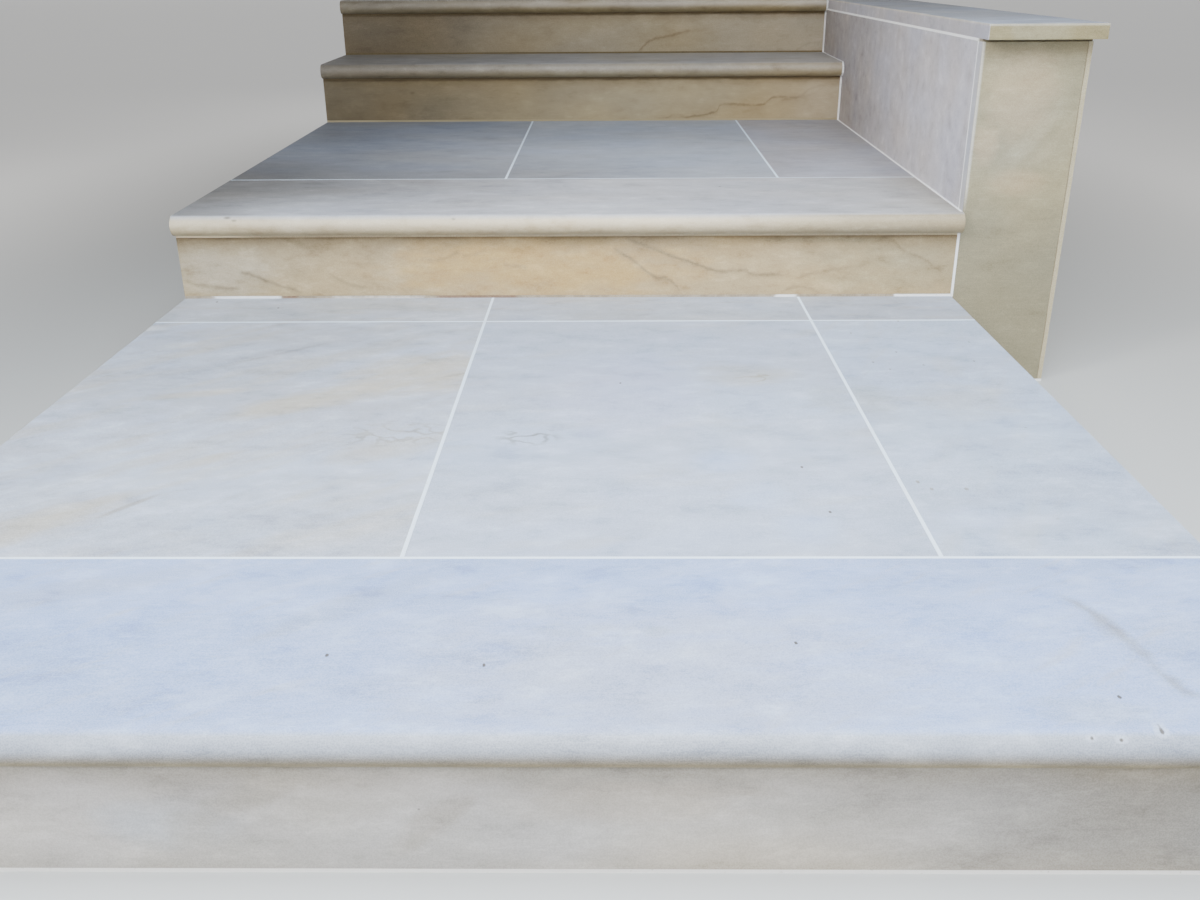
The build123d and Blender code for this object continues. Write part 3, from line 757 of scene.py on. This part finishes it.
# Coping
# Two square-edged lengths of 27 mm sandstone cap the wall on a white bed.
# They lie flush with the inner side and overhang the front and the outside.
coping_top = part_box("coping_front")[1].z
for index, node in enumerate(("coping_front", "coping_back")):
    coping = Sandstone(node + "_sandstone", 71 + index, tone(147, 151, 162), tone(136, 140, 150))
    # Painted light by facing: the upright faces take a warm tone, the inner side a cool one, and the top keeps its
    # own. A paler band along the top arris is a painted highlight.
    upright = coping.facing_up.ease(0.8, 0.2)
    inner_side = coping.x.ease(0.766, 0.7645)
    coping.lay(upright, tone(147, 135, 98))
    coping.lay(upright * coping.noise(0.08, shift=12).ease(0.42, 0.62), tone(159, 150, 119), 0.8)
    coping.lay(upright * inner_side, tone(172, 169, 175))
    coping.lay(upright * coping.z.ease(coping_top - 0.005, coping_top - 0.002), tone(201, 195, 179), 0.6)
    coping.specks(0.06, 0.0016, 0.12, iron, 0.6)
    coping.sawn()
    coping.dress(node)
    ease_arrises(node)


# Studio
# A plain pale floor and a far round backdrop that glow a little, a large soft
# light over the front of the landing, warmer ones low in front, and fainter
# ones on both sides and behind, so that the other sides can be seen too.
floor_radius = 60.0
floor_mesh = bpy.data.meshes.new("studio_floor")
rim = [
    (floor_radius * math.cos(math.radians(angle)), floor_radius * math.sin(math.radians(angle)), 0.0)
    for angle in range(0, 360, 15)
]
floor_mesh.from_pydata(rim, [], [tuple(range(len(rim)))])
floor = bpy.data.objects.new("studio_floor", floor_mesh)
bpy.context.scene.collection.objects.link(floor)
floor_finish = Finish("pale_floor", 90, tone(192, 192, 190), 0.8)
floor_finish.lay(floor_finish.noise(1.5, detail=1.0).ease(0.3, 0.7), tone(188, 188, 187), 0.6)
floor_mesh.materials.append(floor_finish.material)
floor_finish.dress()
steps_middle, half_width, half_length = 1.9, 0.9, 1.9
across = floor_finish.x / half_width
along = (floor_finish.y - steps_middle) / half_length
squared = across * across + along * along
glow = squared.maths("SQRT", squared).ease(1.0, 2.9).blend(tone(0, 0, 0), tone(206, 206, 205))
floor_finish.tree.links.new(glow.output, floor_finish.shader.inputs["Emission Color"])
floor_finish.shader.inputs["Emission Strength"].default_value = 0.75

backdrop_mesh = bpy.data.meshes.new("studio_backdrop")
inset, backdrop_foot, backdrop_top = 0.97, -0.5, 20.0
lower = [(x * inset, y * inset, backdrop_foot) for x, y, z in rim]
upper = [(x, y, backdrop_top) for x, y, z in lower]
count = len(rim)
sides = [(i, (i + 1) % count, count + (i + 1) % count, count + i) for i in range(count)]
backdrop_mesh.from_pydata(lower + upper, [], sides)
backdrop_mesh.materials.append(floor_finish.material)
backdrop = bpy.data.objects.new("studio_backdrop", backdrop_mesh)
bpy.context.scene.collection.objects.link(backdrop)


def softbox(name, place, aim, size, power, colour, spread=180.0):
    lamp = bpy.data.lights.new(name, "AREA")
    lamp.shape = "RECTANGLE"
    lamp.size, lamp.size_y = size
    lamp.energy = power
    lamp.color = colour
    lamp.spread = math.radians(spread)
    box = bpy.data.objects.new(name, lamp)
    box.location = place
    box.rotation_mode = "QUATERNION"
    box.rotation_quaternion = (Vector(place) - Vector(aim)).to_track_quat("Z", "Y")
    bpy.context.scene.collection.objects.link(box)


softbox("light_over_landing", (0.1, -2.3, 2.6), (0.0, -1.7, 0.2), (2.8, 1.6), 90.0, (0.80, 0.90, 1.0), 100.0)
softbox("light_in_front", (-0.2, -4.2, 2.0), (0.0, -1.9, 0.1), (3.0, 1.2), 12.5, (1.0, 0.91, 0.80), 60.0)
softbox("light_on_wall", (-2.0, -2.4, 2.2), (0.75, 0.0, 0.4), (0.9, 0.6), 4.8, (1.0, 0.96, 0.90), 36.0)
softbox("light_low_in_front", (-0.6, -5.2, 1.6), (0.0, -1.4, 0.3), (3.4, 1.8), 6.2, (1.0, 0.90, 0.78), 140.0)
softbox("light_left", (-3.2, 1.0, 1.4), (-0.8, 0.6, 0.3), (2.0, 1.0), 18.0, (1.0, 0.97, 0.93))
softbox("light_right", (3.6, 0.2, 1.5), (0.95, 0.0, 0.3), (2.8, 1.0), 28.0, (1.0, 0.97, 0.93))
softbox("light_behind", (0.0, 4.8, 2.0), (0.0, 1.9, 0.5), (2.4, 1.2), 34.0, (1.0, 0.97, 0.93))

world = bpy.data.worlds.new("studio_surround")
world.use_nodes = True
surround = world.node_tree.nodes["Background"]
surround.inputs["Color"].default_value = tone(226, 228, 232)
surround.inputs["Strength"].default_value = 0.12
bpy.context.scene.world = world


# Camera
# It stands in front of the lowest tread and looks down over the landing, at
# the angle that the joints of the paving give.
camera = bpy.data.cameras.new("camera")
camera.sensor_width = 36.0
camera.lens = 33.88
camera.clip_start = 0.05
camera.clip_end = 300.0
look = bpy.data.objects.new("camera", camera)
pan_angle, down_angle, roll_angle = 0.717, 23.19, -0.384
right_of_middle, in_front, eye_height = 0.09125, 0.8178, 0.7829
turn = Matrix.Rotation(math.radians(pan_angle), 4, "Z")
tilt = Matrix.Rotation(math.radians(90 - down_angle), 4, "X")
roll = Matrix.Rotation(math.radians(roll_angle), 4, "Z")
stand = Matrix.Translation((flight_middle + right_of_middle, flight_front - in_front, eye_height))
look.matrix_world = stand @ turn @ tilt @ roll
bpy.context.scene.collection.objects.link(look)
bpy.context.scene.camera = look
